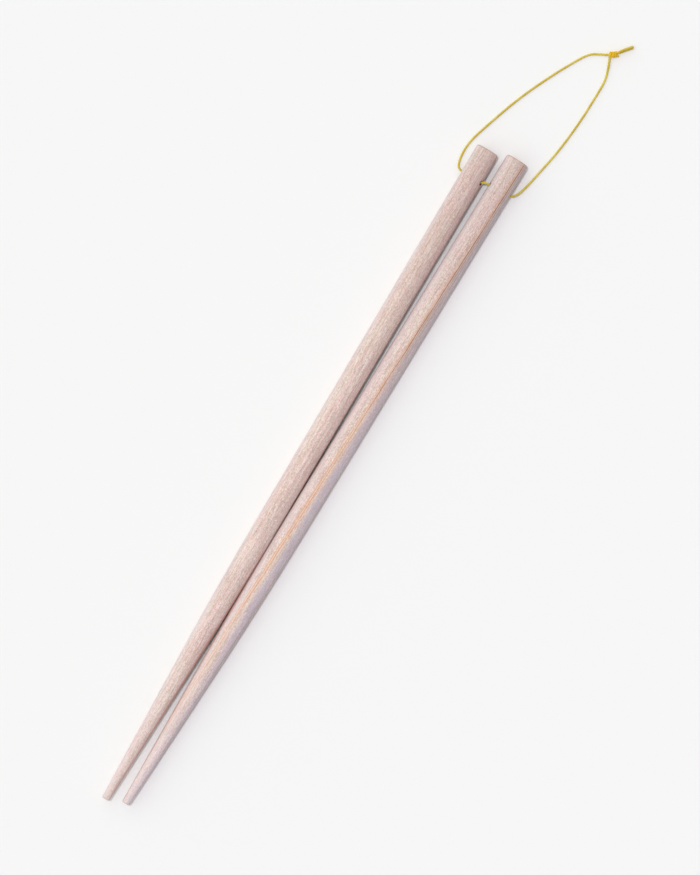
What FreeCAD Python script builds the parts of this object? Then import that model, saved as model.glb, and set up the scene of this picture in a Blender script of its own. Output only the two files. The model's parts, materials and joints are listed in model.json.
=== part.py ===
import FreeCAD, Part
import math
import os
import Sketcher

# A pair of long round wooden chopsticks, tied at the thick ends by a thin cord
# that is threaded through a cross hole in each stick and knotted into a loop.
# The pair lies on a flat surface at Z = 0. The origin is the middle of the two
# sticks' footprint, +X runs from the tips to the thick ends and +Z points up.
# Lengths are in millimetres and angles in degrees.

doc = FreeCAD.newDocument("chopsticks")
sheet = doc.addObject("Spreadsheet::Sheet", "sizes")

DIMENSIONS = [
    # one stick
    ("stick_length", 330.0),
    ("grip_diameter", 10.5),
    ("tip_diameter", 3.6),
    ("taper_length", 140.0),          # from the tip to where the full diameter begins
    ("shoulder_radius", 2100.0),      # the long arc between the taper and the grip
    ("tip_bevel", 0.4),
    ("butt_bevel", 0.5),
    # the cross holes for the cord
    ("hole_diameter", 2.0),
    ("left_hole_distance", 14.2),     # from the thick end, drilled by eye
    ("right_hole_distance", 15.4),
    # how the two sticks lie
    ("left_roll", -22.0),             # turns each hole away from level
    ("right_roll", 18.0),
    ("splay_angle", 0.86),            # between the two axes, which meet past the tips
    ("end_offset", 2.8),              # the right stick lies this much further along
    ("side_clearance", 0.05),         # between the sticks where they lie together
    # the cord and its knot
    ("cord_diameter", 1.0),
    ("knot_diameter", 2.9),
    ("knot_turn_width", 1.2),         # one turn of the cord in the knot, swollen by its bend
    ("knot_crown_width", 0.6),        # the flat of one turn, between its slanted sides
    ("knot_groove_depth", 0.3),       # between two turns
    ("knot_angle", -54.0),            # the knot's axis, seen from above
]
KNOT_TURNS = 3

for row, (alias, number) in enumerate(DIMENSIONS, start=1):
    sheet.set("A%d" % row, alias)
    sheet.set("B%d" % row, str(number))
    sheet.setAlias("B%d" % row, alias)
doc.recompute()


def size(alias):
    return float(sheet.get(alias))


def origin_feature(body, role):
    for feature in body.Origin.OriginFeatures:
        if feature.Role == role:
            return feature
    raise ValueError("no origin feature " + role)


def new_sketch(body, name, role):
    sketch = body.newObject("Sketcher::SketchObject", name)
    sketch.AttachmentSupport = (origin_feature(body, role), [""])
    sketch.MapMode = "FlatFace"
    return sketch


def bind(sketch, name, formula, *constraint):
    """Adds one dimension to a sketch and ties it to the sheet."""
    index = sketch.addConstraint(Sketcher.Constraint(*constraint))
    sketch.renameConstraint(index, name)
    sketch.setExpression("Constraints." + name, formula)


# A stick is turned on a lathe: half of its outline, revolved about its own axis
def draw_outline(sketch):
    length = size("stick_length")
    grip = size("grip_diameter") / 2
    tip = size("tip_diameter") / 2
    shoulder_end = size("taper_length")
    radius = size("shoulder_radius")
    centre = FreeCAD.Vector(shoulder_end, grip - radius, 0)
    # the taper is the tangent from the rim of the tip to the shoulder's circle
    reach = math.hypot(centre.x, centre.y - tip)
    swing = math.asin(radius / reach)
    bearing = math.atan2(tip - centre.y, centre.x)
    tangent_length = math.sqrt(reach ** 2 - radius ** 2)
    slope = swing - bearing
    shoulder_start = FreeCAD.Vector(
        tangent_length * math.cos(slope), tip + tangent_length * math.sin(slope), 0)

    corners = [
        FreeCAD.Vector(0, 0, 0),
        FreeCAD.Vector(length, 0, 0),
        FreeCAD.Vector(length, grip, 0),
        FreeCAD.Vector(shoulder_end, grip, 0),
        shoulder_start,
        FreeCAD.Vector(0, tip, 0),
    ]
    middle_angle = math.pi / 2 + slope / 2
    crown = centre + FreeCAD.Vector(math.cos(middle_angle), math.sin(middle_angle), 0) * radius
    axis = sketch.addGeometry(Part.LineSegment(corners[0], corners[1]), False)
    butt = sketch.addGeometry(Part.LineSegment(corners[1], corners[2]), False)
    handle = sketch.addGeometry(Part.LineSegment(corners[2], corners[3]), False)
    shoulder = sketch.addGeometry(Part.Arc(corners[3], crown, corners[4]), False)
    taper = sketch.addGeometry(Part.LineSegment(corners[4], corners[5]), False)
    tip_face = sketch.addGeometry(Part.LineSegment(corners[5], corners[0]), False)

    # an arc runs anticlockwise, so it starts where it leaves the grip
    sketch.addConstraint([
        Sketcher.Constraint("Coincident", axis, 1, -1, 1),
        Sketcher.Constraint("Coincident", axis, 2, butt, 1),
        Sketcher.Constraint("Coincident", butt, 2, handle, 1),
        Sketcher.Constraint("Tangent", handle, 2, shoulder, 1),
        Sketcher.Constraint("Tangent", shoulder, 2, taper, 1),
        Sketcher.Constraint("Coincident", taper, 2, tip_face, 1),
        Sketcher.Constraint("Coincident", tip_face, 2, axis, 1),
        Sketcher.Constraint("Horizontal", axis),
        Sketcher.Constraint("Horizontal", handle),
        Sketcher.Constraint("Vertical", butt),
        Sketcher.Constraint("Vertical", tip_face),
    ])
    bind(sketch, "length", "sizes.stick_length", "DistanceX", axis, 1, axis, 2, length)
    bind(sketch, "taper", "sizes.taper_length", "DistanceX", -1, 1, handle, 2, shoulder_end)
    bind(sketch, "grip_radius", "sizes.grip_diameter / 2", "DistanceY", butt, 1, butt, 2, grip)
    bind(sketch, "tip_radius", "sizes.tip_diameter / 2", "DistanceY", tip_face, 2, tip_face, 1, tip)
    bind(sketch, "shoulder", "sizes.shoulder_radius", "Radius", shoulder, radius)


def rim_edges(feature, distance):
    """Names the round edges that lie across the stick at this distance from the tip."""
    names = []
    for number, edge in enumerate(feature.Shape.Edges, start=1):
        box = edge.BoundBox
        if abs(box.XMin - distance) < 0.01 and box.XLength < 0.01 and box.YLength > 0.01:
            names.append("Edge%d" % number)
    return names


def bevel_edges(body, name, base, edges, alias):
    chamfer = body.newObject("PartDesign::Chamfer", name)
    chamfer.Base = (base, edges)
    chamfer.setExpression("Size", "sizes." + alias)
    doc.recompute()
    return chamfer


def make_chopstick(side, shift_sign):
    label = side + "_chopstick"
    body = doc.addObject("PartDesign::Body", label)
    body.Label = label

    outline = new_sketch(body, side + "_outline", "XY_Plane")
    draw_outline(outline)
    turned = body.newObject("PartDesign::Revolution", side + "_turned")
    turned.Profile = outline
    turned.ReferenceAxis = (outline, ["H_Axis"])
    turned.Angle = 360
    doc.recompute()

    tip = bevel_edges(body, side + "_tip_edge", turned, rim_edges(turned, 0), "tip_bevel")
    butt = bevel_edges(body, side + "_butt_edge", tip, rim_edges(tip, size("stick_length")), "butt_bevel")

    # the hole crosses the stick through its axis
    hole_place = size("stick_length") - size(side + "_hole_distance")
    hole_width = size("hole_diameter")
    upright = FreeCAD.Vector(0, 0, 1)
    circle = new_sketch(body, side + "_hole_circle", "XZ_Plane")
    ring = circle.addGeometry(Part.Circle(FreeCAD.Vector(hole_place, 0, 0), upright, hole_width / 2), False)
    circle.addConstraint(Sketcher.Constraint("PointOnObject", ring, 3, -1))
    bind(circle, "distance", "sizes.stick_length - sizes.%s_hole_distance" % side,
         "DistanceX", -1, 1, ring, 3, hole_place)
    bind(circle, "width", "sizes.hole_diameter", "Diameter", ring, hole_width)
    hole = body.newObject("PartDesign::Pocket", side + "_hole")
    hole.Profile = circle
    hole.Type = "ThroughAll"
    hole.Midplane = True
    doc.recompute()
    if hole.Shape.Volume >= butt.Shape.Volume:
        raise ValueError("the cross hole cuts nothing")

    # both sticks rest on their thick part, and touch where the shoulder's arc
    # runs parallel to the middle line of the pair
    half_splay = "sizes.splay_angle / 2"
    place_x = "%s(sizes.stick_length * cos(%s) + sizes.end_offset) / 2" % ("-", half_splay)
    if side == "right":
        place_x = place_x + " + sizes.end_offset"
    touch_distance = "(sizes.taper_length - sizes.shoulder_radius * sin(%s))" % half_splay
    touch_radius = "(sizes.grip_diameter / 2 - sizes.shoulder_radius * (1 - cos(%s)))" % half_splay
    place_y = "%d * (sizes.side_clearance / 2 + %s * cos(%s) - %s * sin(%s))" % (
        shift_sign, touch_radius, half_splay, touch_distance, half_splay)
    place_z = "sizes.grip_diameter / 2"
    turn = "rotation(%d * %s; 0; sizes.%s_roll)" % (shift_sign, half_splay, side)
    body.setExpression("Placement", "placement(vector(%s; %s; %s); %s)" % (place_x, place_y, place_z, turn))
    doc.recompute()
    return body


left_chopstick = make_chopstick("left", 1)
right_chopstick = make_chopstick("right", -1)

# The cord's route, from the knot along the left side, through both sticks and
# back along the right side. It lies on the surface, half its diameter above Z = 0,
# and rises only to the holes and to the knot.
CORD_ROUTE = [
    (226.2, -17.3, 1.3),
    (224.8, -14.3, 0.75),
    (222.3, -9.7, 0.5),
    (215.5, -5.4, 0.5),
    (204.5, 0.3, 0.5),
    (190.0, 6.8, 0.5),
    (175.0, 11.9, 0.5),
    (163.0, 15.6, 0.5),
    (155.4, 16.6, 0.6),
    (150.5, 15.2, 1.75),
    (149.65, 11.5, 3.28),
    (149.2, 6.7, 5.25),
    (149.72, 1.6, 7.35),
    (150.7, -1.5, 7.0),
    (150.9, -6.6, 5.25),
    (151.25, -11.6, 3.6),
    (152.4, -14.7, 2.45),
    (157.8, -16.6, 1.0),
    (166.0, -17.6, 0.5),
    (179.0, -20.1, 0.5),
    (195.0, -21.6, 0.5),
    (207.5, -21.8, 0.5),
    (216.0, -21.5, 0.5),
    (220.9, -19.8, 0.6),
    (225.5, -18.6, 1.3),
]
# Where the tied cord leaves the knot: two cut ends, one lying on the other
LOWER_TAIL = [(228.3, -20.3, 0.95), (230.8, -22.1, 0.62), (234.5, -24.6, 0.5)]
UPPER_TAIL = [(228.3, -20.2, 2.05), (231.1, -21.75, 1.9), (234.9, -24.55, 1.5)]
KNOT_CENTRE = (227.7, -19.4)
ARC_SHARE = 0.45          # an arc takes this much of the shorter of its two runs


def cord_path(name, points):
    """Straight runs joined by tangent arcs, each as large as its two runs allow."""
    corners = [FreeCAD.Vector(*point) for point in points]
    edges = []
    radii = []
    start = corners[0]
    for before, corner, after in zip(corners, corners[1:], corners[2:]):
        back = before - corner
        ahead = after - corner
        cut = ARC_SHARE * min(back.Length, ahead.Length)
        turn = math.pi - back.getAngle(ahead)
        radius = cut / math.tan(turn / 2)
        back.normalize()
        ahead.normalize()
        arc_start = corner + back * cut
        arc_end = corner + ahead * cut
        towards_centre = back + ahead
        towards_centre.normalize()
        arc_middle = corner + towards_centre * (radius / math.cos(turn / 2) - radius)
        edges.append(Part.LineSegment(start, arc_start).toShape())
        edges.append(Part.Arc(arc_start, arc_middle, arc_end).toShape())
        radii.append(radius)
        start = arc_end
    edges.append(Part.LineSegment(start, corners[-1]).toShape())
    print(name, "radii", ", ".join("%.1f" % radius for radius in radii))
    return Part.Wire(edges)


def cord_tube(name, points):
    path = cord_path(name, points)
    heading = FreeCAD.Vector(*points[1]) - FreeCAD.Vector(*points[0])
    radius = size("cord_diameter") / 2
    section = Part.Wire(Part.makeCircle(radius, FreeCAD.Vector(*points[0]), heading))
    tube = path.makePipeShell([section], True, False)
    expected = math.pi * radius ** 2 * path.Length
    print(name, "length %.1f, volume %.2f, section times length %.2f" % (path.Length, tube.Volume, expected))
    if abs(tube.Volume / expected - 1) > 0.01:
        raise ValueError(name + " is not a clean tube")
    return tube


def solid_feature(name, shape):
    feature = doc.addObject("Part::Feature", name)
    feature.Label = name
    feature.Shape = shape
    return feature


hanging_cord = solid_feature("hanging_cord", cord_tube("hanging_cord", CORD_ROUTE))


# The knot: turns of the cord side by side, pulled into a small barrel
def draw_knot_outline(sketch):
    """Half of the barrel's outline: for each turn a band with slanted sides."""
    width = size("knot_turn_width")
    crown = size("knot_crown_width")
    height = size("knot_diameter") / 2
    valley = height - size("knot_groove_depth")
    slant = (width - crown) / 2
    start = -KNOT_TURNS * width / 2

    def line(from_x, from_y, to_x, to_y):
        ends = FreeCAD.Vector(from_x, from_y, 0), FreeCAD.Vector(to_x, to_y, 0)
        return sketch.addGeometry(Part.LineSegment(*ends), False)

    first_face = line(start, 0, start, valley)
    chain = [first_face]
    crowns = []
    for turn in range(KNOT_TURNS):
        left = start + turn * width
        rise = line(left, valley, left + slant, height)
        top = line(left + slant, height, left + slant + crown, height)
        fall = line(left + slant + crown, height, left + width, valley)
        chain.extend([rise, top, fall])
        crowns.append(top)
        bind(sketch, "turn_%d_width" % (turn + 1), "sizes.knot_turn_width",
             "DistanceX", rise, 1, fall, 2, width)
        bind(sketch, "turn_%d_crown" % (turn + 1), "sizes.knot_crown_width",
             "DistanceX", top, 1, top, 2, crown)
        sketch.addConstraint(Sketcher.Constraint("Horizontal", top))
        sketch.addConstraint(Sketcher.Constraint("Horizontal", rise, 1, fall, 2))
        sketch.addConstraint(Sketcher.Constraint("Equal", rise, fall))
    last_face = line(-start, valley, -start, 0)
    axis = line(-start, 0, start, 0)
    chain.extend([last_face, axis])

    for before, after in zip(chain, chain[1:] + chain[:1]):
        sketch.addConstraint(Sketcher.Constraint("Coincident", before, 2, after, 1))
    for before, after in zip(crowns, crowns[1:]):
        sketch.addConstraint(Sketcher.Constraint("Horizontal", before, 2, after, 1))
    sketch.addConstraint(Sketcher.Constraint("Vertical", first_face))
    sketch.addConstraint(Sketcher.Constraint("Vertical", last_face))
    sketch.addConstraint(Sketcher.Constraint("PointOnObject", axis, 1, -1))
    sketch.addConstraint(Sketcher.Constraint("Symmetric", axis, 1, axis, 2, -1, 1))
    bind(sketch, "crown_height", "sizes.knot_diameter / 2", "DistanceY", -1, 1, crowns[0], 1, height)
    bind(sketch, "groove_height", "sizes.knot_diameter / 2 - sizes.knot_groove_depth",
         "DistanceY", -1, 1, first_face, 2, valley)


def make_knot_turns():
    body = doc.addObject("PartDesign::Body", "knot_turns")
    outline = new_sketch(body, "knot_outline", "XY_Plane")
    draw_knot_outline(outline)
    turned = body.newObject("PartDesign::Revolution", "knot_turned")
    turned.Profile = outline
    turned.ReferenceAxis = (outline, ["H_Axis"])
    turned.Angle = 360
    body.setExpression("Placement", "placement(vector(%g; %g; sizes.knot_diameter / 2); "
                                    "rotation(sizes.knot_angle; 0; 0))" % KNOT_CENTRE)
    doc.recompute()
    return body


def straight_neck(name, end_point, towards):
    """The last of the tied cord before the knot, along the direction in which it arrives."""
    end = FreeCAD.Vector(*end_point)
    heading = end - FreeCAD.Vector(*towards)
    heading.normalize()
    depth = size("knot_diameter") / 2
    radius = size("cord_diameter") / 2
    return solid_feature(name, Part.makeCylinder(radius, depth, end, heading))


knot_pieces = [
    make_knot_turns(),
    straight_neck("left_neck", CORD_ROUTE[0], CORD_ROUTE[1]),
    straight_neck("right_neck", CORD_ROUTE[-1], CORD_ROUTE[-2]),
    solid_feature("lower_tail", cord_tube("lower_tail", LOWER_TAIL)),
    solid_feature("upper_tail", cord_tube("upper_tail", UPPER_TAIL)),
]
cord_knot = doc.addObject("Part::MultiFuse", "cord_knot")
cord_knot.Label = "cord_knot"
cord_knot.Shapes = knot_pieces

doc.recompute()
for item in doc.Objects:
    if "Invalid" in item.State or "Error" in item.State:
        raise ValueError(item.Name + " did not recompute")

os.makedirs("parts", exist_ok=True)
for node in (left_chopstick, right_chopstick, hanging_cord, cord_knot):
    shape = node.Shape
    if shape.isNull() or not shape.isValid():
        raise ValueError(node.Label + " has no valid shape")
    box = shape.optimalBoundingBox(True, False)
    reach = (box.XMin, box.XMax, box.YMin, box.YMax, box.ZMin, box.ZMax)
    print(node.Label, len(shape.Solids), "solid, volume %.1f" % shape.Volume,
          "x %.2f %.2f y %.2f %.2f z %.2f %.2f" % reach)
    shape.exportStep("parts/" + node.Label + ".step")
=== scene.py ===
import json
import math
import random

import bpy
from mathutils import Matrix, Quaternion, Vector


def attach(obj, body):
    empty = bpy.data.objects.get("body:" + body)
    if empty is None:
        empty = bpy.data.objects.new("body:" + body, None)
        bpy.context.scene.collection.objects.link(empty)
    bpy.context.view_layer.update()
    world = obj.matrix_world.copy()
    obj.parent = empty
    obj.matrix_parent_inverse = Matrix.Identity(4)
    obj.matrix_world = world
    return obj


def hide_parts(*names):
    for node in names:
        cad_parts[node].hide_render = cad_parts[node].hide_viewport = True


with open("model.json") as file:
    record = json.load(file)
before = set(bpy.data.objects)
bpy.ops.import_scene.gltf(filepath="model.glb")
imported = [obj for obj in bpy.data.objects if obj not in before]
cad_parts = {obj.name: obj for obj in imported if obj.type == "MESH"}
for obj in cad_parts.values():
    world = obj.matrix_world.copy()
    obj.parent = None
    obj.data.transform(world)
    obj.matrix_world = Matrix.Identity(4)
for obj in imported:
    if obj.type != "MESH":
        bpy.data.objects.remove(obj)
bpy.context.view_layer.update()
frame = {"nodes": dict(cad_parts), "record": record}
print("frame loaded:", ", ".join(sorted(frame["nodes"])))

mm = 0.001


def clearSelection():
    bpy.ops.object.select_all(action="DESELECT")


def makeActive(piece):
    clearSelection()
    piece.select_set(True)
    bpy.context.view_layer.objects.active = piece


def colour(red, green, blue):
    # screen colour, 0 to 255, as the shader wants it
    shares = [value / 255 for value in (red, green, blue)]
    return [s / 12.92 if s <= 0.04045 else ((s + 0.055) / 1.055) ** 2.4 for s in shares] + [1]


def addNode(tree, kind, inputs=None, **settings):
    made = tree.nodes.new(kind)
    for name, value in settings.items():
        setattr(made, name, value)
    for name, value in (inputs or {}).items():
        if isinstance(value, bpy.types.NodeSocket):
            tree.links.new(value, made.inputs[name])
        else:
            made.inputs[name].default_value = value
    return made


def maths(tree, operation, *values):
    made = addNode(tree, "ShaderNodeMath", dict(enumerate(values)), operation=operation)
    return made.outputs["Value"]


def vectorMaths(tree, operation, *values):
    made = addNode(tree, "ShaderNodeVectorMath", dict(enumerate(values)), operation=operation)
    return made.outputs["Value" if operation == "DISTANCE" else "Vector"]


def stretched(tree, vector, along, across):
    # a pattern read at this place is drawn out along the piece
    return vectorMaths(tree, "MULTIPLY", vector, (along, across, across))


def noise(tree, vector, scale=1.0, detail=3.0, roughness=0.55):
    inputs = {"Vector": vector, "Scale": scale, "Detail": detail, "Roughness": roughness}
    return addNode(tree, "ShaderNodeTexNoise", inputs).outputs["Fac"]


def between(tree, value, low, high, first=0.0, last=1.0, soft=True):
    inputs = {"Value": value, "From Min": low, "From Max": high, "To Min": first, "To Max": last}
    made = addNode(tree, "ShaderNodeMapRange", inputs)
    made.interpolation_type = "SMOOTHSTEP" if soft else "LINEAR"
    return made.outputs["Result"]


def blendColours(tree, amount, first, second):
    made = addNode(tree, "ShaderNodeMix", data_type="RGBA", blend_type="MIX")
    for socket, value in ((made.inputs[0], amount), (made.inputs[6], first), (made.inputs[7], second)):
        if isinstance(value, bpy.types.NodeSocket):
            tree.links.new(value, socket)
        else:
            socket.default_value = value
    return made.outputs[2]


def newFinish(name):
    finish = bpy.data.materials.new(name)
    finish.use_nodes = True
    tree = finish.node_tree
    return finish, tree, tree.nodes["Principled BSDF"]


# Camera: straight above the table, turned so that the sticks lie across the picture. Lengths
# in metres, the sensor in millimetres
cameraPlan = {
    "height": 3.0,
    "seenHeight": 0.38325,      # what the picture's long side takes in, at the sticks' middle
    "stickMiddle": 0.00525,
    "lookAt": (0.0245, -0.0062),
    "turn": -59.06,
    "sensor": 36,
}


def placeCamera(plan):
    data = bpy.data.cameras.new("camera")
    camera = bpy.data.objects.new("camera", data)
    bpy.context.scene.collection.objects.link(camera)
    camera.location = (*plan["lookAt"], plan["height"])
    camera.rotation_euler = (0, 0, math.radians(plan["turn"]))
    data.sensor_width = plan["sensor"]
    data.lens = plan["sensor"] * (plan["height"] - plan["stickMiddle"]) / plan["seenHeight"]
    bpy.context.scene.camera = camera


# Light: a steep key lamp, a wide soft one low on the same side, and the room's pale glow
studio = {
    "lamps": {
        # strength, degrees above the table, degrees from +X seen from above, spread, colour
        "key": (1.17, 81.5, 84, 5, (0.982, 0.961, 1.029)),
        "fill": (1.0, 50, 88, 100, (1.06, 1.16, 0.92)),
    },
    "glowStrength": 0.48,
    "glowColour": (0.93, 0.895, 0.965),
    "floorColour": (240, 240, 240),
    "floorRoughness": 0.9,
    "floorGloss": 0.1,
    "floorSize": 8,
    "floorDrop": 0.02 * mm,     # keeps it clear of the undersides
}


def hangLamp(name, strength, height, around, spread, lampColour):
    data = bpy.data.lights.new(name, "SUN")
    data.energy = strength
    data.color = lampColour
    data.angle = math.radians(spread)
    lamp = bpy.data.objects.new(name, data)
    bpy.context.scene.collection.objects.link(lamp)
    up = math.radians(height)
    side = math.radians(around)
    towards = Vector((math.cos(side) * math.cos(up), math.sin(side) * math.cos(up), math.sin(up)))
    lamp.rotation_euler = towards.to_track_quat("Z", "Y").to_euler()
    lamp.location = towards


def lightStudio(plan):
    scene = bpy.context.scene
    scene.view_settings.view_transform = "Standard"
    world = bpy.data.worlds.new("glow")
    scene.world = world
    world.use_nodes = True
    background = world.node_tree.nodes["Background"]
    background.inputs["Color"].default_value = (*plan["glowColour"], 1)
    background.inputs["Strength"].default_value = plan["glowStrength"]
    for name, settings in plan["lamps"].items():
        hangLamp(name, *settings)


def layFloor(plan):
    clearSelection()
    bpy.ops.mesh.primitive_plane_add(size=plan["floorSize"], location=(0, 0, -plan["floorDrop"]))
    floor = bpy.context.active_object
    floor.name = "floor"
    paper, _, shader = newFinish("palePaper")
    shader.inputs["Base Color"].default_value = colour(*plan["floorColour"])
    shader.inputs["Roughness"].default_value = plan["floorRoughness"]
    shader.inputs["Specular IOR Level"].default_value = plan["floorGloss"]
    floor.data.materials.append(paper)


placeCamera(cameraPlan)
lightStudio(studio)
layFloor(studio)
print("camera, lamps and floor ready")


# Hanging cord: three-ply yellow thread. The route runs from the knot along the left side,
# through both sticks and back along the right side, in millimetres.
cordRoute = [
    (227.4, -18.25, 1.35),
    (226.6, -17.05, 1.3),
    (225.2, -14.05, 0.75),
    (222.6, -9.55, 0.5),
    (215.5, -5.4, 0.5),
    (204.5, 0.3, 0.5),
    (190.0, 6.8, 0.5),
    (175.0, 11.9, 0.5),
    (163.0, 15.6, 0.5),
    (155.8, 15.6, 0.6),
    (150.7, 14.4, 1.75),
    (149.65, 11.5, 3.28),
    (149.3, 6.7, 5.2),
    (149.5, 1.9, 6.95),
    (150.85, 0.35, 7.45),
    (150.5, -2.6, 6.45),
    (150.8, -6.6, 5.25),
    (151.0, -12.0, 3.45),
    (153.0, -14.35, 2.45),
    (158.3, -16.1, 1.0),
    (166.0, -17.6, 0.5),
    (179.0, -20.1, 0.5),
    (195.0, -21.6, 0.5),
    (207.5, -21.8, 0.5),
    (216.2, -21.85, 0.5),
    (221.35, -20.2, 0.6),
    (225.9, -18.4, 1.3),
]
knot = {
    "centre": (228.1, -19.15, 1.45),
    "angle": -54,               # its axis, seen from above
    "strandWidth": 0.8,         # the thread is squeezed inside the knot
    "wrapRadius": 1.04,
    "wrapFrom": 1.85,           # along the axis, where the first strand's turns begin
    "wrapPitch": 1.5,           # room for a turn of each strand
    "wrapTurns": (1.9, 1.35),
    "wrapSteps": 12,            # points to a turn
    "wrapUneven": 0.05,         # share of the radius by which a turn sinks in here and there
    "wrapWave": 2.3,
    "tuck": 0.25,               # how far on a strand goes as it dives in under its turns
    "tailFullness": 1.08,       # a cut end against the cord's diameter
    "tailSwell": 1.2,           # length over which it swells to that
    "frayedFrom": 0.93,         # share of a tail's length
    "frayedReach": 0.16,
    "seed": 31,
    "fibres": 9,                # loose ones on a cut end
    "fibreRadius": 0.045,
    "fibreTaper": 0.7,
    "fibreSpans": 4,
    "fibreStart": (0.1, 0.6),   # least and most: how far behind the cut it starts
    "fibreOut": (0.05, 0.38),   # and from the middle of the thread
    "fibreReach": (0.35, 0.95),
    "fibreLean": (0.1, 0.55),
}
# the right strand climbs over the left one before it goes under the turns: along and across
# the knot's axis, and upwards
bandRoute = [
    (-1.95, -0.7, 0.7),
    (-1.72, 0.2, 1.0),
    (-1.5, 1.0, 0.5),
    (-1.2, 0.8, -0.5),
    (-0.5, 0.1, -0.25),
]
# each strand's way to its turns, the way back under them, and its cut end
strandStarts = [
    [(-0.3, -0.1, -0.1), (0.7, 0.1, -0.1), (1.5, -0.25, 0.1)],
    [(-0.3, 0.1, -0.1), (0.4, 0.1, -0.1), (0.7, -0.25, 0.1)],
]
strandReturns = [
    [(-0.4, -0.2, -0.15), (0.7, 0.3, -0.25)],
    [(-0.4, 0.2, 0.15), (0.7, 0.3, 0.25)],
]
tailRoutes = [
    [(1.75, 0.4, -0.3), (3.9, 0.9, -0.78), (8.45, 2.1, -0.9)],
    [(1.7, 0.66, 0.5), (3.8, 1.42, 0.42), (8.6, 2.66, 0.02)],
]
thread = {
    "diameter": 1.0,
    "plies": 3,
    "twist": 4.2,               # length of one full turn of the plies
    "plyShare": 0.53,           # a ply's width as a share of the cord's
    "step": 0.3,                # length between two sections of a ply
    "roundness": 3,
    "looser": 0.22,             # how much thicker it gets where it comes to the knot
    "looseReach": 8,
    "smoothness": 24,           # points between two of a route's
    "weld": 0.001,
    "creaseAngle": 75,
}


def smoothLine(controlPoints):
    # points in metres along the smooth line that the control points pull
    curve = bpy.data.curves.new("line", "CURVE")
    curve.dimensions = "3D"
    curve.resolution_u = thread["smoothness"]
    spline = curve.splines.new("NURBS")
    spline.points.add(len(controlPoints) - 1)
    for point, place in zip(spline.points, controlPoints):
        point.co = (*(Vector(place) * mm), 1)
    spline.order_u = 3
    spline.use_endpoint_u = True
    holder = bpy.data.objects.new("line", curve)
    bpy.context.scene.collection.objects.link(holder)
    bpy.context.view_layer.update()
    lineMesh = bpy.data.meshes.new_from_object(holder)
    points = [vertex.co.copy() for vertex in lineMesh.vertices]
    bpy.data.objects.remove(holder)
    bpy.data.curves.remove(curve)
    bpy.data.meshes.remove(lineMesh)
    return points


def evenSteps(points, step):
    # the same line with its points an even step apart
    lengths = [0]
    for before, after in zip(points, points[1:]):
        lengths.append(lengths[-1] + (after - before).length)
    count = max(2, round(lengths[-1] / step))
    even = []
    span = 0
    for index in range(count + 1):
        along = lengths[-1] * index / count
        while span < len(points) - 2 and lengths[span + 1] < along:
            span += 1
        share = (along - lengths[span]) / max(lengths[span + 1] - lengths[span], 1e-9)
        even.append(points[span].lerp(points[span + 1], min(share, 1)))
    return even, lengths[-1]


def carriedFrames(points):
    # a crosswise direction at each point, carried along without turning about the line
    headings = []
    for index in range(len(points)):
        before = points[max(index - 1, 0)]
        after = points[min(index + 1, len(points) - 1)]
        headings.append((after - before).normalized())
    across = headings[0].orthogonal().normalized()
    frames = []
    for index, heading in enumerate(headings):
        if index:
            across = headings[index - 1].rotation_difference(heading) @ across
        across = (across - heading * across.dot(heading)).normalized()
        frames.append((across, heading.cross(across)))
    return frames


def twistedThread(name, points, width, spread=None, phase=0, span=(0, 1)):
    # plies laid round a centre line; width and spread give metres for a share of the length,
    # and span keeps a part of it
    points, length = evenSteps(points, thread["step"] * mm)
    frames = carriedFrames(points)
    first, last = [round(end * (len(points) - 1)) for end in span]
    plyObjects = []
    for ply in range(thread["plies"]):
        curve = bpy.data.curves.new(name, "CURVE")
        curve.dimensions = "3D"
        curve.bevel_mode = "ROUND"
        curve.bevel_depth = mm
        curve.bevel_resolution = thread["roundness"]
        curve.use_fill_caps = True
        spline = curve.splines.new("POLY")
        spline.points.add(last - first)
        for index in range(first, last + 1):
            place = points[index]
            across, side = frames[index]
            share = index / (len(points) - 1)
            angle = math.tau * (ply / thread["plies"] + share * length / (thread["twist"] * mm)) + phase
            plyRadius = width(share) * thread["plyShare"] / 2
            reach = width(share) / 2 - plyRadius
            if spread:
                reach += spread(share)
            place = place + (across * math.cos(angle) + side * math.sin(angle)) * reach
            place.z = max(place.z, plyRadius)
            spline.points[index - first].co = (*place, 1)
            spline.points[index - first].radius = plyRadius / mm
        plyObject = bpy.data.objects.new(name, curve)
        bpy.context.scene.collection.objects.link(plyObject)
        plyObjects.append(plyObject)
    return plyObjects


def joinAsMesh(name, parts):
    clearSelection()
    for part in parts:
        part.select_set(True)
    bpy.context.view_layer.objects.active = parts[0]
    bpy.ops.object.convert(target="MESH")
    bpy.ops.object.join()
    joined = bpy.context.active_object
    joined.name = name
    joined.data.name = name
    # the caps of the threads' ends are welded to their sides
    bpy.ops.object.mode_set(mode="EDIT")
    bpy.ops.mesh.select_all(action="SELECT")
    bpy.ops.mesh.remove_doubles(threshold=thread["weld"] * mm)
    bpy.ops.object.mode_set(mode="OBJECT")
    bpy.ops.object.shade_smooth_by_angle(angle=math.radians(thread["creaseAngle"]))
    return joined


def knotPlace(along, across, up):
    # a place in the knot, in millimetres
    angle = math.radians(knot["angle"])
    turned = Vector((along * math.cos(angle) - across * math.sin(angle),
                     along * math.sin(angle) + across * math.cos(angle), up))
    return Vector(knot["centre"]) + turned


# the cord runs on into the knot as one line, and is cut where it meets the knot's turns
wholeLine = smoothLine(cordRoute + [knotPlace(*place) for place in bandRoute])
evenLine, wholeLength = evenSteps(wholeLine, thread["step"] * mm)
knotEdge = Vector(cordRoute[-1]) * mm
secondHalf = range(len(evenLine) // 2, len(evenLine))
cutIndex = min(secondHalf, key=lambda index: (evenLine[index] - knotEdge).length)
cutShare = cutIndex / (len(evenLine) - 1)


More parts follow.
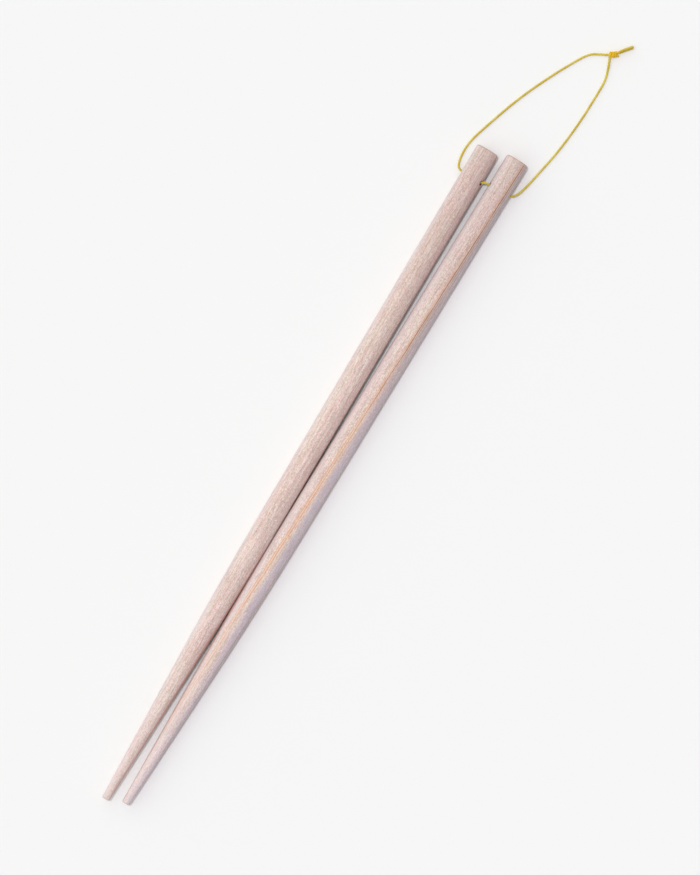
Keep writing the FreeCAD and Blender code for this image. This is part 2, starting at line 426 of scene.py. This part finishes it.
def cordWidth(share):
    # the thread is looser, and so thicker, where it comes to the knot
    fromKnot = (cutShare - share) * wholeLength / mm
    looser = min(max(1 - fromKnot / thread["looseReach"], 0), 1)
    return thread["diameter"] * (1 + thread["looser"] * looser) * mm


hangingCord = joinAsMesh("hangingCord", twistedThread("ply", wholeLine, cordWidth, span=(0, cutShare)))
threadColours = {
    "light": (226, 208, 96),
    "yellow": (206, 181, 52),
    "deep": (164, 134, 22),
    "knotted": (240, 196, 14),
    "knottedReach": (2.025, 2.7),   # from the knot's middle its deeper colour fades over this
    "patchScale": 0.22,
    "patchShade": 0.7,
    "speckleScale": 5.5,
    "speckleShade": 0.4,
    "speckleHeight": 0.5,
    "fibresAlong": 0.8,             # to a millimetre
    "fibresAround": 16,
    "fibreShade": 0.5,
    "fibreHeight": 0.7,
    "fuzz": 0.7,
    "fuzzHeight": 0.07,
    "roughness": 0.62,
    "gloss": 0.3,
    "sheen": 0.2,
    "sheenRoughness": 0.4,
}


def dyeThread(name, strandLength):
    look = threadColours
    finish, tree, shader = newFinish(name)
    place = addNode(tree, "ShaderNodeTexCoord")
    around = addNode(tree, "ShaderNodeUVMap", uv_map="UVMap").outputs["UV"]
    inMillimetres = stretched(tree, place.outputs["Object"], 1 / mm, 1 / mm)
    patches = noise(tree, inMillimetres, scale=look["patchScale"], detail=2)
    speckle = noise(tree, inMillimetres, scale=look["speckleScale"], detail=3, roughness=0.7)
    counts = (look["fibresAlong"] * strandLength, look["fibresAround"], 1)
    fibres = noise(tree, vectorMaths(tree, "MULTIPLY", around, counts), detail=3, roughness=0.7)
    light = colour(*look["light"])
    patched = between(tree, patches, 0.35, 0.65, 0.0, look["patchShade"])
    shade = blendColours(tree, patched, colour(*look["yellow"]), light)
    fromKnot = vectorMaths(tree, "DISTANCE", inMillimetres, knot["centre"])
    knotted = between(tree, fromKnot, *look["knottedReach"], 1.0, 0.0)
    shade = blendColours(tree, knotted, shade, colour(*look["knotted"]))
    grooves = between(tree, fibres, 0.48, 0.62, 0.0, look["fibreShade"])
    shade = blendColours(tree, grooves, shade, colour(*look["deep"]))
    specks = between(tree, speckle, 0.55, 0.8, 0.0, look["speckleShade"])
    shade = blendColours(tree, specks, shade, light)
    tree.links.new(shade, shader.inputs["Base Color"])
    height = maths(tree, "MULTIPLY", speckle, look["speckleHeight"])
    height = maths(tree, "MULTIPLY_ADD", fibres, look["fibreHeight"], height)
    bump = {"Height": height, "Strength": look["fuzz"], "Distance": look["fuzzHeight"] * mm}
    bump = addNode(tree, "ShaderNodeBump", bump)
    tree.links.new(bump.outputs["Normal"], shader.inputs["Normal"])
    shader.inputs["Roughness"].default_value = look["roughness"]
    shader.inputs["Specular IOR Level"].default_value = look["gloss"]
    shader.inputs["Sheen Weight"].default_value = look["sheen"]
    shader.inputs["Sheen Roughness"].default_value = look["sheenRoughness"]
    return finish


def strandRoute(strand):
    # one of the two strands that make the knot's turns and come out as its cut ends
    route = list(strandStarts[strand])
    for step in range(round(knot["wrapTurns"][strand] * knot["wrapSteps"]) + 1):
        turned = step / knot["wrapSteps"]
        angle = math.tau * (turned + 0.5)
        sinks = knot["wrapUneven"] * abs(math.sin(knot["wrapWave"] * step + strand))
        reach = knot["wrapRadius"] * (1 - sinks)
        along = knot["wrapFrom"] - strand * knot["strandWidth"] - turned * knot["wrapPitch"]
        route.append((along, reach * math.cos(angle), reach * math.sin(angle)))
    along, across, up = route[-1]
    route.append((along - knot["tuck"], across / 2, up / 2))
    route += strandReturns[strand]
    return [knotPlace(*place) for place in route + tailRoutes[strand]]


def tieKnot():
    random.seed(knot["seed"])
    plies = twistedThread("ply", wholeLine, cordWidth, span=(cutShare, 1))
    strandLength = 0
    for strand in range(2):
        line = smoothLine(strandRoute(strand))
        tail = [Vector(place) for place in tailRoutes[strand]]
        tailLength = (tail[-1] - tail[0]).length * mm
        length = evenSteps(line, thread["step"] * mm)[1]
        strandLength += length
        tailShare = 1 - tailLength / length

        def strandWidth(share):
            # squeezed in the knot, and as thick as the rest outside it
            outside = min(max((share - tailShare) * length / (knot["tailSwell"] * mm), 0), 1)
            swelling = thread["diameter"] * knot["tailFullness"] - knot["strandWidth"]
            return (knot["strandWidth"] + swelling * outside) * mm

        def frayed(share):
            # the plies come apart towards the cut
            pastFraying = (share - tailShare) / (1 - tailShare) - knot["frayedFrom"]
            return max(pastFraying, 0) / (1 - knot["frayedFrom"]) * knot["frayedReach"] * mm

        plies += twistedThread("ply", line, strandWidth, spread=frayed, phase=1.1 * strand)
        plies += frayedFibres(line)
    print("cord in the knot and its two ends, mm:", round(strandLength / mm, 1))
    return joinAsMesh("cordKnot", plies), strandLength / 2


def frayedFibres(line):
    # loose fibres that stand out of a cut end
    tip = line[-1]
    heading = (line[-1] - line[-6]).normalized()
    across = heading.orthogonal().normalized()
    fibres = []
    for _ in range(knot["fibres"]):
        angle = random.uniform(0, math.tau)
        outwards = (Quaternion(heading, angle) @ across).normalized()
        back = random.uniform(*knot["fibreStart"]) * mm
        out = random.uniform(*knot["fibreOut"]) * mm
        start = tip - heading * back + outwards * out
        reach = random.uniform(*knot["fibreReach"]) * mm
        lean = random.uniform(*knot["fibreLean"])
        curve = bpy.data.curves.new("fibre", "CURVE")
        curve.dimensions = "3D"
        curve.bevel_depth = mm
        curve.bevel_resolution = 1
        curve.use_fill_caps = True
        spline = curve.splines.new("POLY")
        spline.points.add(knot["fibreSpans"])
        for index, point in enumerate(spline.points):
            part = index / knot["fibreSpans"]
            place = start + heading * reach * part + outwards * reach * lean * part ** 2
            radius = knot["fibreRadius"] * (1 - knot["fibreTaper"] * part)
            place.z = max(place.z, radius * mm)
            point.co = (*place, 1)
            point.radius = radius
        fibre = bpy.data.objects.new("fibre", curve)
        bpy.context.scene.collection.objects.link(fibre)
        fibres.append(fibre)
    return fibres


cordKnot, strandLength = tieKnot()
cordLength = cutShare * wholeLength
yellowThread = dyeThread("yellowThread", cordLength / mm)
knotThread = dyeThread("knotThread", strandLength / mm)
hangingCord.data.materials.append(yellowThread)
cordKnot.data.materials.append(knotThread)
print("cord laid and tied:", len(hangingCord.data.polygons), "and", len(cordKnot.data.polygons), "faces")

for piece, node in ((hangingCord, "hanging_cord"), (cordKnot, "cord_knot")):
    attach(piece, "root")
    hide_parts(node)

# Sticks: turned on a lathe from the tip to the butt, then drilled across for the cord
turning = {
    "length": 330.0,
    "gripRadius": 5.25,
    "tipRadius": 1.8,
    "taperLength": 140.0,
    "shoulderRadius": 2100.0,
    "tipBevel": 0.4,
    "buttBevel": 0.5,
    "edgeSoftness": 0.12,       # sanding takes this much off each bevel's corners
    "softShares": (0.35, 0.3, 0.6),     # of it: in from the face, out from the rim, back along
    "sides": 96,
    "spacing": 9.0,             # between the rings of faces along the stick
    "holeRadius": 1.0,
    "holeSpacing": 0.55,        # rings lie closer round the hole
    "holeReach": 2.2,
    "holeSides": 40,
    "ringGap": 0.001,           # keeps the first of those rings off the last wide one
    "mouthBevel": 0.14,
    "mouthSegments": 2,
    "touching": 0.02,           # a point this near to the drill and the skin lies on both
    "creaseAngle": 34,
}
sticks = {
    "left": {"node": "left_chopstick", "mount": "left_butt_face", "holeFromButt": 14.2, "roll": -22,
             "mouthShade": 0.95},
    "right": {"node": "right_chopstick", "mount": "right_butt_face", "holeFromButt": 15.4, "roll": 18,
              "mouthShade": 0.4},
}


def stickPlace(side):
    # where the tip lies and which way the stick points, from the butt face's mount
    mounts = {mount["name"]: mount for mount in frame["record"]["mounts"]}
    mount = mounts[sticks[side]["mount"]]
    heading = Vector(mount["axis"]).normalized()
    tip = Vector(mount["pos_m"]) - heading * turning["length"] * mm
    return tip, math.atan2(heading.y, heading.x)


def shoulderStart():
    # the taper is the tangent from the tip's rim to the shoulder's circle
    drop = turning["gripRadius"] - turning["shoulderRadius"]
    reach = math.hypot(turning["taperLength"], drop - turning["tipRadius"])
    slope = math.asin(turning["shoulderRadius"] / reach)
    slope -= math.atan2(turning["tipRadius"] - drop, turning["taperLength"])
    along = math.sqrt(reach ** 2 - turning["shoulderRadius"] ** 2)
    return along * math.cos(slope), math.tan(slope)


def radiusAt(distance):
    start, slope = shoulderStart()
    if distance >= turning["taperLength"]:
        return turning["gripRadius"]
    if distance <= start:
        return turning["tipRadius"] + slope * distance
    drop = turning["gripRadius"] - turning["shoulderRadius"]
    return drop + math.sqrt(turning["shoulderRadius"] ** 2 - (turning["taperLength"] - distance) ** 2)


def outlineStations(holePlace):
    # distances from the tip with the radius at each, from one end face to the other
    soft = turning["edgeSoftness"]
    tipBevel = turning["tipBevel"]
    buttBevel = turning["buttBevel"]
    length = turning["length"]
    distances = []
    place = tipBevel + soft
    while place < length - buttBevel - soft:
        distances.append(place)
        nearHole = abs(place - holePlace) < turning["holeReach"]
        beforeHole = place < holePlace - turning["holeReach"] < place + turning["spacing"]
        if nearHole:
            place += turning["holeSpacing"]
        elif beforeHole:
            place = holePlace - turning["holeReach"] + turning["ringGap"]
        else:
            place += turning["spacing"]
    distances.append(length - buttBevel - soft)
    tipRim = radiusAt(tipBevel) - tipBevel
    buttRim = turning["gripRadius"] - buttBevel
    fromFace, fromRim, back = [share * soft for share in turning["softShares"]]
    stations = [(0, tipRim - soft), (fromFace, tipRim + fromRim)]
    stations += [(tipBevel - back, radiusAt(tipBevel) - soft)]
    stations += [(distance, radiusAt(distance)) for distance in distances]
    stations += [(length - buttBevel + back, turning["gripRadius"] - soft)]
    stations += [(length - fromFace, buttRim + fromRim), (length, buttRim - soft)]
    return [(distance * mm, radius * mm) for distance, radius in stations]


def turnStick(name, holePlace):
    stations = outlineStations(holePlace)
    clearSelection()
    bpy.ops.mesh.primitive_circle_add(vertices=turning["sides"], radius=stations[0][1],
                                      fill_type="NGON", rotation=(0, math.pi / 2, 0))
    stick = bpy.context.active_object
    stick.name = name
    stick.data.name = name
    bpy.ops.object.transform_apply(location=True, rotation=True, scale=True)
    bpy.ops.object.mode_set(mode="EDIT")
    bpy.ops.mesh.select_all(action="SELECT")
    for (fromPlace, fromRadius), (place, radius) in zip(stations, stations[1:]):
        bpy.ops.mesh.extrude_region_move(TRANSFORM_OT_translate={"value": (place - fromPlace, 0, 0)})
        widen = radius / fromRadius
        bpy.ops.transform.resize(value=(1, widen, widen), center_override=(place, 0, 0))
    bpy.ops.mesh.select_all(action="SELECT")
    bpy.ops.mesh.normals_make_consistent(inside=False)
    bpy.ops.object.mode_set(mode="OBJECT")
    return stick


def drillStick(stick, holePlace, roll):
    holeRadius = turning["holeRadius"] * mm
    clearSelection()
    bpy.ops.mesh.primitive_cylinder_add(
        vertices=turning["holeSides"], radius=holeRadius, depth=turning["gripRadius"] * 3 * mm,
        location=(holePlace * mm, 0, 0), rotation=(math.radians(roll) - math.pi / 2, 0, 0))
    drill = bpy.context.active_object
    makeActive(stick)
    cut = stick.modifiers.new("crossHole", "BOOLEAN")
    cut.object = drill
    cut.operation = "DIFFERENCE"
    cut.solver = "EXACT"
    bpy.ops.object.modifier_apply(modifier=cut.name)
    bpy.data.objects.remove(drill)

    # the mouths' edges lie on the drill's wall and on the stick's skin
    axis = Vector((0, math.cos(math.radians(roll)), math.sin(math.radians(roll))))
    centre = Vector((holePlace * mm, 0, 0))
    onWall = []
    for vertex in stick.data.vertices:
        offset = vertex.co - centre
        fromAxis = (offset - axis * offset.dot(axis)).length
        fromSkin = turning["gripRadius"] * mm - math.hypot(vertex.co.y, vertex.co.z)
        near = turning["touching"] * mm
        onWall.append(abs(fromAxis - holeRadius) < near and fromSkin < near)
    bpy.ops.object.mode_set(mode="EDIT")
    bpy.ops.mesh.select_mode(type="EDGE")
    bpy.ops.mesh.select_all(action="DESELECT")
    bpy.ops.object.mode_set(mode="OBJECT")
    for edge in stick.data.edges:
        edge.select = all(onWall[index] for index in edge.vertices)
    bpy.ops.object.mode_set(mode="EDIT")
    bpy.ops.mesh.bevel(offset=turning["mouthBevel"] * mm, segments=turning["mouthSegments"],
                       clamp_overlap=True)
    bpy.ops.object.mode_set(mode="OBJECT")


# Wood: bare, sanded and pale. The grain runs along each stick's own axis
wood = {
    "cream": (232, 215, 206),
    "rosy": (232, 203, 201),
    "sandy": (217, 199, 185),
    "glint": (246, 236, 228),
    "late": (186, 157, 147),
    "pore": (146, 112, 98),
    "cut": (186, 148, 130),
    # the hole's wall and mouth: partly a stain, partly painted shade in the recess
    "holeStainAndShade": (88, 46, 34),
    "worn": (228, 214, 216),
    "handled": (104, 70, 66),
    "wander": 2.4,              # how far the grain strays from the stick's axis
    "ringSpacing": 0.98,
    "poreDepth": 0.5,
    "wornDepth": 0.24,          # the tips are washed out, up to a share of the length
    "wornTo": 0.24,
    "handledDepth": 0.14,       # the thick end is a little darker from handling
    "handledFrom": 0.6,
    "endDepths": (0.62, 0.12),  # below a sawn face, where its colour begins and where it is full
    "endUneven": 0.9,
    "tipEndShade": 0.45,        # a tip's face against a butt's
    "mouthReach": (1.02, 1.34),     # shares of the hole's radius
    "fibreHeight": 0.55,
    "fineHeight": 0.6,
    "poreHeight": 0.8,
    "grainHeight": 0.03,
    "grainStrength": 0.6,
    "roughness": (0.58, 0.75),
    "gloss": 0.25,
    "depthOfLight": 0.28,       # pale wood lets a little light in
    "lightReach": 2.6,
    "lightColours": (1.0, 0.42, 0.3),
    "sheen": 0.16,              # fine fuzz of the sanded wood
    "sheenRoughness": 0.45,
}
# how dense each pattern is along and across the grain, its detail and its roughness
woodPatterns = {
    "broad": (0.022, 0.5, 3, 0.55),
    "sandy": (0.03, 0.95, 3, 0.55),
    "lines": (0.03, 1.15, 2, 0.6),
    "fibres": (0.06, 1.9, 3, 0.65),
    "fine": (0.35, 4.0, 3, 0.7),
    "flecks": (0.3, 1.3, 2, 0.7),
    "speckle": (1.15, 2.3, 2, 0.75),
    "sway": (0.022, 0.0, 2, 0.55),
    "breaks": (0.16, 1.2, 4, 0.75),
}
# layers over the cream: pattern, its values between which the layer comes in, its strength at
# the lower and at the upper one, colour
woodLayers = [
    ("broad", 0.38, 0.62, 0.0, 1.0, "rosy"),
    ("sandy", 0.48, 0.64, 0.0, 0.6, "sandy"),
    ("rings", 0.0, 1.0, 0.0, 0.26, "late"),
    ("lines", 0.3, 0.46, 0.22, 0.0, "glint"),
    ("lines", 0.54, 0.66, 0.0, 0.28, "late"),
    ("fibres", 0.5, 0.62, 0.0, 0.52, "late"),
    ("fine", 0.5, 0.68, 0.0, 0.62, "late"),
    ("speckle", 0.52, 0.66, 0.0, 0.56, "late"),
    ("speckle", 0.34, 0.48, 0.56, 0.0, "glint"),
    ("flecks", 0.56, 0.66, 0.0, 0.14, "late"),
    ("flecks", 0.34, 0.44, 0.14, 0.0, "glint"),
]
figure = {
    # a flank band, pale ones are painted light and darker ones painted shade: which side, reach,
    # strength, colour. A streak: how far left of the axis it starts, drift, half width, the share of it
    # that is even, how far from the tip it begins, strength, colour. The tip streaks end about halfway
    # up the stick.
    "left": {
        "ringCentre": (-19.0, -34.0),
        "shift": 0.0,
        "overgrain": 0.0,
        # painted light on the lamps' side, painted shade where this stick touches the other
        "flankLightAndShade": [
            (1, 2.6, 0.32, (230, 219, 226)),
            (-1, 0.8, 0.16, (158, 104, 84)),
            (-1, 0.42, 0.5, (206, 138, 108)),
        ],
        "streaks": [
            (-1.7, 0.004, 0.3, 0.4, -99, 0.3, (186, 150, 128)),
            (2.4, -0.005, 0.35, 0.4, -99, 0.2, (196, 160, 140)),
            (-3.2, 0.001, 1.6, 0.1, 140, 0.2, (190, 158, 140)),
        ],
        "tipStreaks": [],
    },
    "right": {
        "ringCentre": (27.0, -30.0),
        "shift": 41.0,
        "overgrain": 0.14,
        # painted light on the lamps' side, painted shade where this stick touches the other and along
        # its far flank
        "flankLightAndShade": [
            (1, 4.6, 0.46, (230, 219, 228)),
            (1, 0.4, 0.5, (190, 136, 116)),
            (-1, 0.6, 0.34, (132, 110, 118)),
        ],
        "streaks": [
            (1.6, -0.0196, 1.4, 0.1, -99, 0.25, (224, 202, 182)),
            # a grey-lavender band down the flank turned from the lamps: partly the wood's own tone,
            # partly painted shade
            (-1.9, -0.0125, 2.8, 0.3, 80, 0.5, (180, 170, 183)),
            (2.0, -0.0196, 1.3, 0.3, 215, 0.4, (178, 160, 158)),
            (3.3, -0.0196, 1.6, 0.1, -99, 0.34, (228, 186, 152)),
            (3.62, -0.0196, 0.2, 0.4, 195, 0.6, (208, 148, 104)),
            (2.95, -0.0196, 0.24, 0.4, 195, 0.95, (168, 106, 66)),
            (2.95, -0.0196, 0.24, 0.4, 255, 0.6, (136, 98, 92)),
            (2.2, -0.0196, 0.17, 0.4, 230, 0.6, (146, 112, 106)),
            (1.3, -0.0196, 0.15, 0.4, 240, 0.5, (140, 120, 124)),
        ],
        "tipStreaks": [
            # the same grey-lavender band near the tip: partly the wood's own tone, partly painted shade
            (-1.6, -0.012, 2.0, 0.3, -99, 0.4, (206, 198, 216)),
            (3.3, -0.0196, 0.8, 0.5, 30, 0.45, (240, 206, 174)),
            (3.72, -0.0196, 0.22, 0.5, 30, 0.74, (210, 146, 102)),
            (2.86, -0.0196, 0.22, 0.5, 30, 0.8, (204, 138, 94)),
        ],
    },
}
streaking = {
    "sway": 1.6,
    "softStart": 30,            # before and after the place where a streak begins
    "whole": 0.58,              # a streak is whole where the breaks are above this
    "gaps": (0.26, 0.1),        # and gone where they are below this, in the tip half and the other
    "gapsChange": (0.5, 0.64),  # shares of the length
    "tipFades": (0.5, 0.68),
    "taperShare": 0.94,         # the edge is taken as straight up to this share of the taper
    "downTheSide": (-0.2, 0.46),    # heights over the axis, as shares of the radius
    "leftBelow": 0.1,
    "flankEdge": 0.1,
}


def grainPlace(tree, side):
    # millimetres from the tip along the stick's own axis, and the same with a wandering grain
    tip, yaw = stickPlace(side)
    place = addNode(tree, "ShaderNodeTexCoord").outputs["Object"]
    onStick = addNode(tree, "ShaderNodeMapping", {"Vector": place}, vector_type="TEXTURE")
    onStick.inputs["Location"].default_value = tip
    onStick.inputs["Rotation"].default_value = (0, 0, yaw)
    onStick.inputs["Scale"].default_value = (mm, mm, mm)
    spot = onStick.outputs["Vector"]
    drawnOut = stretched(tree, spot, 0.011, 0.05)
    wander = addNode(tree, "ShaderNodeTexNoise", {"Vector": drawnOut, "Detail": 1.0}).outputs["Color"]
    wander = vectorMaths(tree, "SUBTRACT", wander, (0.5, 0.5, 0.5))
    return spot, vectorMaths(tree, "MULTIPLY_ADD", wander, (0, wood["wander"], wood["wander"]), spot)


def growPatterns(tree, side, grain):
    shift = figure[side]["shift"]
    shifted = vectorMaths(tree, "ADD", grain, (shift * 10, shift, shift))
    patterns = {}
    for name, (along, across, detail, roughness) in woodPatterns.items():
        drawnOut = stretched(tree, shifted, along, across)
        patterns[name] = noise(tree, drawnOut, detail=detail, roughness=roughness)

    fromCentre = vectorMaths(tree, "SUBTRACT", grain, (0, *figure[side]["ringCentre"]))
    # at scale 1 this texture's rings lie tau / 20 apart
    rings = {"Vector": stretched(tree, fromCentre, 0.006, 1.0), "Distortion": 1.3, "Detail": 2.0,
             "Detail Scale": 0.4, "Scale": math.tau / 20 / wood["ringSpacing"]}
    rings = addNode(tree, "ShaderNodeTexWave", rings, wave_type="RINGS", rings_direction="X",
                    wave_profile="SAW")
    patterns["rings"] = rings.outputs["Fac"]

    # a pore in some of the cells
    cells = {"Vector": stretched(tree, shifted, 0.4, 3.0), "Scale": 1.0}
    cells = addNode(tree, "ShaderNodeTexVoronoi", cells)
    draw = addNode(tree, "ShaderNodeSeparateXYZ", {"Vector": cells.outputs["Color"]}).outputs["X"]
    holes = between(tree, cells.outputs["Distance"], 0.12, 0.32, 1.0, 0.0)
    patterns["pores"] = maths(tree, "MULTIPLY", holes, between(tree, draw, 0.55, 0.6))
    return patterns


def plainWood(tree, patterns, axes):
    shade = colour(*wood["cream"])
    for name, low, high, atLow, atHigh, tint in woodLayers:
        amount = between(tree, patterns[name], low, high, atLow, atHigh, soft=name != "rings")
        shade = blendColours(tree, amount, shade, colour(*wood[tint]))
    pores = maths(tree, "MULTIPLY", patterns["pores"], wood["poreDepth"])
    shade = blendColours(tree, pores, shade, colour(*wood["pore"]))
    length = turning["length"]
    handled = between(tree, axes["X"], length * wood["handledFrom"], length, 0.0, wood["handledDepth"])
    shade = blendColours(tree, handled, shade, colour(*wood["handled"]))
    worn = between(tree, axes["X"], 0, length * wood["wornTo"], wood["wornDepth"], 0.0)
    return blendColours(tree, worn, shade, colour(*wood["worn"]))


def streakWood(tree, side, patterns, axes, shade):
    # coloured streaks drift across the stick from the tip to the butt, and fade down its sides
    plan = figure[side]
    length = turning["length"]
    taper = turning["taperLength"] * streaking["taperShare"]
    radius = between(tree, axes["X"], 0, taper, turning["tipRadius"], turning["gripRadius"], soft=False)
    height = maths(tree, "DIVIDE", axes["Z"], radius)
    fading = between(tree, height, *streaking["downTheSide"], streaking["leftBelow"], 1.0)
    gapsFrom, gapsTo = [share * length for share in streaking["gapsChange"]]
    gaps = between(tree, axes["X"], gapsFrom, gapsTo, *streaking["gaps"])
    tipFrom, tipTo = [share * length for share in streaking["tipFades"]]
    nearTip = between(tree, axes["X"], tipFrom, tipTo, 1.0, 0.0)
    sway = maths(tree, "SUBTRACT", patterns["sway"], 0.5)
    softStart = streaking["softStart"]
    for streak in plan["streaks"] + plan["tipStreaks"]:
        start, drift, halfWidth, even, begins, strength, tint = streak
        line = maths(tree, "MULTIPLY_ADD", axes["X"], drift, start)
        line = maths(tree, "MULTIPLY_ADD", sway, streaking["sway"], line)
        away = maths(tree, "ABSOLUTE", maths(tree, "SUBTRACT", axes["Y"], line))
        core = between(tree, away, halfWidth * even, halfWidth, 1.0, 0.0)
        unbroken = between(tree, patterns["breaks"], gaps, streaking["whole"], 0.0, strength)
        begun = between(tree, axes["X"], begins - softStart, begins + softStart)
        amount = maths(tree, "MULTIPLY", maths(tree, "MULTIPLY", core, unbroken), begun)
        amount = maths(tree, "MULTIPLY", amount, fading)
        if streak in plan["tipStreaks"]:
            amount = maths(tree, "MULTIPLY", amount, nearTip)
        shade = blendColours(tree, amount, shade, colour(*tint))

    # painted light and shade along the flanks: a pale cool band on the side that faces the lamps, darker
    # warm bands where the sticks touch, and a dark band along the flank turned from the lamps; all
    # follow the taper
    for way, reach, depth, tint in plan["flankLightAndShade"]:
        fromEdge = maths(tree, "MULTIPLY_ADD", axes["Y"], -way, radius)
        amount = between(tree, fromEdge, streaking["flankEdge"], reach, depth, 0.0)
        if way < 0:
            amount = maths(tree, "MULTIPLY", amount, fading)
        shade = blendColours(tree, amount, shade, colour(*tint))

    # the speckle shows through the colour again
    for name, low, high, atLow, atHigh, tint in woodLayers:
        if name == "speckle":
            strengths = [plan["overgrain"] if strength else 0.0 for strength in (atLow, atHigh)]
            amount = between(tree, patterns[name], low, high, *strengths)
            shade = blendColours(tree, amount, shade, colour(*wood[tint]))
    return shade


def sawnEnds(tree, spot, axes, rings, shade):
    # the end faces are darker, with the rings and pores seen end on
    half = turning["length"] / 2
    begins, full = wood["endDepths"]
    dots = noise(tree, stretched(tree, spot, 0.0, 4.5), detail=4, roughness=0.75)
    fromMiddle = maths(tree, "ABSOLUTE", maths(tree, "SUBTRACT", axes["X"], half))
    uneven = maths(tree, "SUBTRACT", dots, 0.5)
    fromMiddle = maths(tree, "MULTIPLY_ADD", uneven, wood["endUneven"], fromMiddle)
    mask = between(tree, fromMiddle, half - begins, half - full)
    mask = maths(tree, "MULTIPLY", mask, between(tree, axes["X"], 0, half, wood["tipEndShade"], 1.0))
    ringed = between(tree, rings, 0.0, 1.0, 0.0, 0.8)
    endShade = blendColours(tree, ringed, colour(*wood["cut"]), colour(*wood["pore"]))
    dotted = between(tree, dots, 0.42, 0.62, 0.0, 0.6)
    endShade = blendColours(tree, dotted, endShade, colour(*wood["sandy"]))
    return blendColours(tree, mask, shade, endShade)


def darkHole(tree, side, axes, shade):
    # the drilled hole's wall and mouth are painted darker: partly a stain, partly painted shade in the
    # recess
    roll = math.radians(sticks[side]["roll"])
    beside = maths(tree, "SUBTRACT", axes["X"], turning["length"] - sticks[side]["holeFromButt"])
    rise = maths(tree, "MULTIPLY", axes["Z"], math.cos(roll))
    level = maths(tree, "SUBTRACT", maths(tree, "MULTIPLY", axes["Y"], math.sin(roll)), rise)
    besideSquare = maths(tree, "MULTIPLY", beside, beside)
    levelSquare = maths(tree, "MULTIPLY", level, level)
    fromAxis = maths(tree, "SQRT", maths(tree, "ADD", besideSquare, levelSquare))
    near, far = [share * turning["holeRadius"] for share in wood["mouthReach"]]
    mask = between(tree, fromAxis, near, far, sticks[side]["mouthShade"], 0.0)
    return blendColours(tree, mask, shade, colour(*wood["holeStainAndShade"]))


def grainOf(side):
    finish, tree, shader = newFinish(side + "Wood")
    spot, grain = grainPlace(tree, side)
    axes = addNode(tree, "ShaderNodeSeparateXYZ", {"Vector": spot}).outputs
    patterns = growPatterns(tree, side, grain)
    shade = plainWood(tree, patterns, axes)
    shade = streakWood(tree, side, patterns, axes, shade)
    shade = sawnEnds(tree, spot, axes, patterns["rings"], shade)
    shade = darkHole(tree, side, axes, shade)
    tree.links.new(shade, shader.inputs["Base Color"])

    height = maths(tree, "MULTIPLY", patterns["fine"], wood["fineHeight"])
    height = maths(tree, "MULTIPLY_ADD", patterns["fibres"], wood["fibreHeight"], height)
    pits = maths(tree, "MULTIPLY", patterns["pores"], wood["poreHeight"])
    height = maths(tree, "SUBTRACT", height, pits)
    bump = {"Height": height, "Strength": wood["grainStrength"], "Distance": wood["grainHeight"] * mm}
    bump = addNode(tree, "ShaderNodeBump", bump)
    tree.links.new(bump.outputs["Normal"], shader.inputs["Normal"])
    roughness = between(tree, patterns["fibres"], 0.3, 0.7, *wood["roughness"], soft=False)
    tree.links.new(roughness, shader.inputs["Roughness"])
    shader.inputs["Specular IOR Level"].default_value = wood["gloss"]
    shader.inputs["Subsurface Weight"].default_value = wood["depthOfLight"]
    shader.inputs["Subsurface Radius"].default_value = wood["lightColours"]
    shader.inputs["Subsurface Scale"].default_value = wood["lightReach"] * mm
    shader.inputs["Sheen Weight"].default_value = wood["sheen"]
    shader.inputs["Sheen Roughness"].default_value = wood["sheenRoughness"]
    return finish


def layStick(side):
    plan = sticks[side]
    holePlace = turning["length"] - plan["holeFromButt"]
    stick = turnStick(side + "Stick", holePlace)
    drillStick(stick, holePlace, plan["roll"])
    tip, yaw = stickPlace(side)
    stick.location = tip
    stick.rotation_euler = (0, 0, yaw)
    makeActive(stick)
    bpy.ops.object.transform_apply(location=True, rotation=True, scale=True)
    bpy.ops.object.shade_smooth_by_angle(angle=math.radians(turning["creaseAngle"]))
    stick.data.materials.clear()
    stick.data.materials.append(grainOf(side))
    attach(stick, "root")
    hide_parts(plan["node"])
    return stick


leftStick = layStick("left")
rightStick = layStick("right")
print("sticks turned and drilled:", len(leftStick.data.polygons), "faces each")
